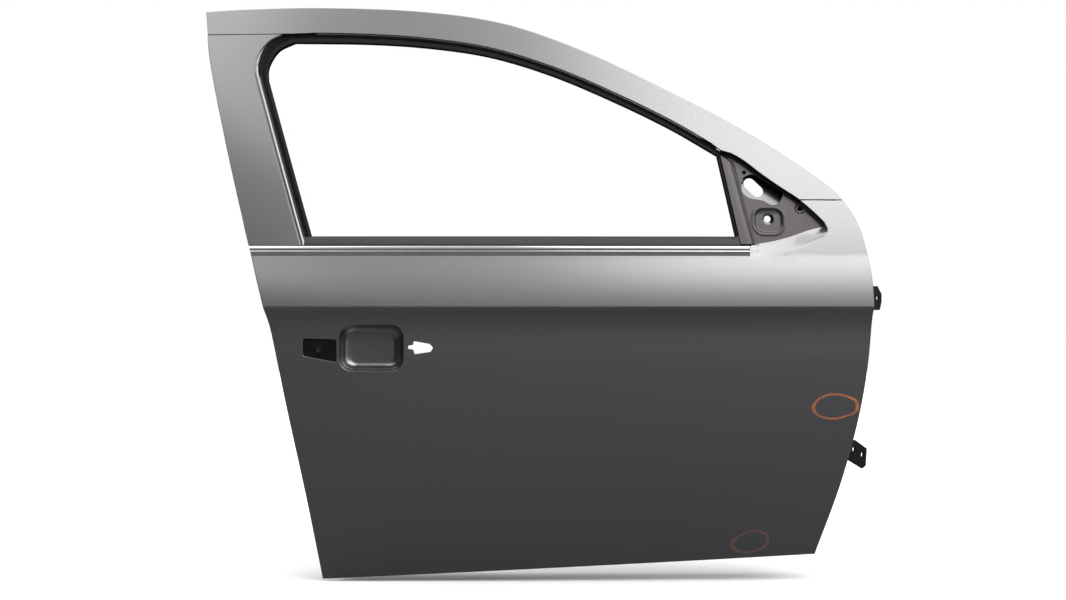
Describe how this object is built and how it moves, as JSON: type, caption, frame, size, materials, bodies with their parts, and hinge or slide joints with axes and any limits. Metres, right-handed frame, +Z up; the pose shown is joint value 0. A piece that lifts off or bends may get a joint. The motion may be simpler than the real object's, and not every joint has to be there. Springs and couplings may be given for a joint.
{
  "type": "car door shell",
  "caption": "Bare right-hand front car door shell with window frame, mirror corner, handle recess, bright belt strip and pin hinges.",
  "frame": {"origin": "midway between the two bolt holes of the upper hinge's body leaf, on its face that lies on the pillar", "axes": "+X towards the front of the car, along the belt line with the door in the pictured pose; +Y inboard, square to the door; +Z up, along the hinge pins"},
  "size_m": [1.2831, 0.25, 1.0734],
  "materials": {
    "graphite_paint": "metallic graphite car paint with a clear coat",
    "inner_paint": "thin body-colour paint, half gloss",
    "bright_trim": "polished bright strip",
    "black_rubber": "matt black rubber",
    "black_coating": "black dip coating",
    "black_plastic": "black moulded plastic",
    "plated_steel": "zinc plated"
  },
  "bodies": {
    "pillar_leaves": {"upper_hinge_body_leaf": "black_coating", "lower_hinge_body_leaf": "black_coating"},
    "door": {"outer_skin": "graphite_paint", "header_outer": "graphite_paint", "b_pillar_outer": "graphite_paint", "mirror_panel": "graphite_paint", "window_frame": "inner_paint", "glass_run_seal": "black_rubber", "corner_moulding": "black_rubber", "belt_moulding": "bright_trim", "outer_belt_seal": "black_rubber", "outer_belt_rail": "inner_paint", "inner_belt_rail": "inner_paint", "mirror_reinforcement": "inner_paint", "handle_carrier": "black_plastic", "inner_panel": "graphite_paint", "latch_reinforcement": "inner_paint", "side_impact_beam": "black_coating", "beam_bracket_front": "black_coating", "beam_bracket_rear": "black_coating", "glass_guide_rear": "black_coating", "glass_guide_front": "black_coating", "rear_guide_upper_bracket": "black_coating", "rear_guide_lower_bracket": "black_coating", "front_guide_bracket": "black_coating", "upper_hinge_reinforcement": "inner_paint", "upper_hinge_door_leaf": "black_coating", "upper_hinge_pin": "plated_steel", "upper_hinge_bolt_1": "plated_steel", "upper_hinge_bolt_2": "plated_steel", "lower_hinge_reinforcement": "inner_paint", "lower_hinge_door_leaf": "black_coating", "lower_hinge_pin": "plated_steel", "lower_hinge_bolt_1": "plated_steel", "lower_hinge_bolt_2": "plated_steel"}
  },
  "joints": [
    {"name": "door_swing", "type": "hinge", "parent": "pillar_leaves", "child": "door", "pos_m": [-0.08709, -0.02815, 0], "axis": [0, 0, 1], "range_deg": [-50, 15]}
  ]
}
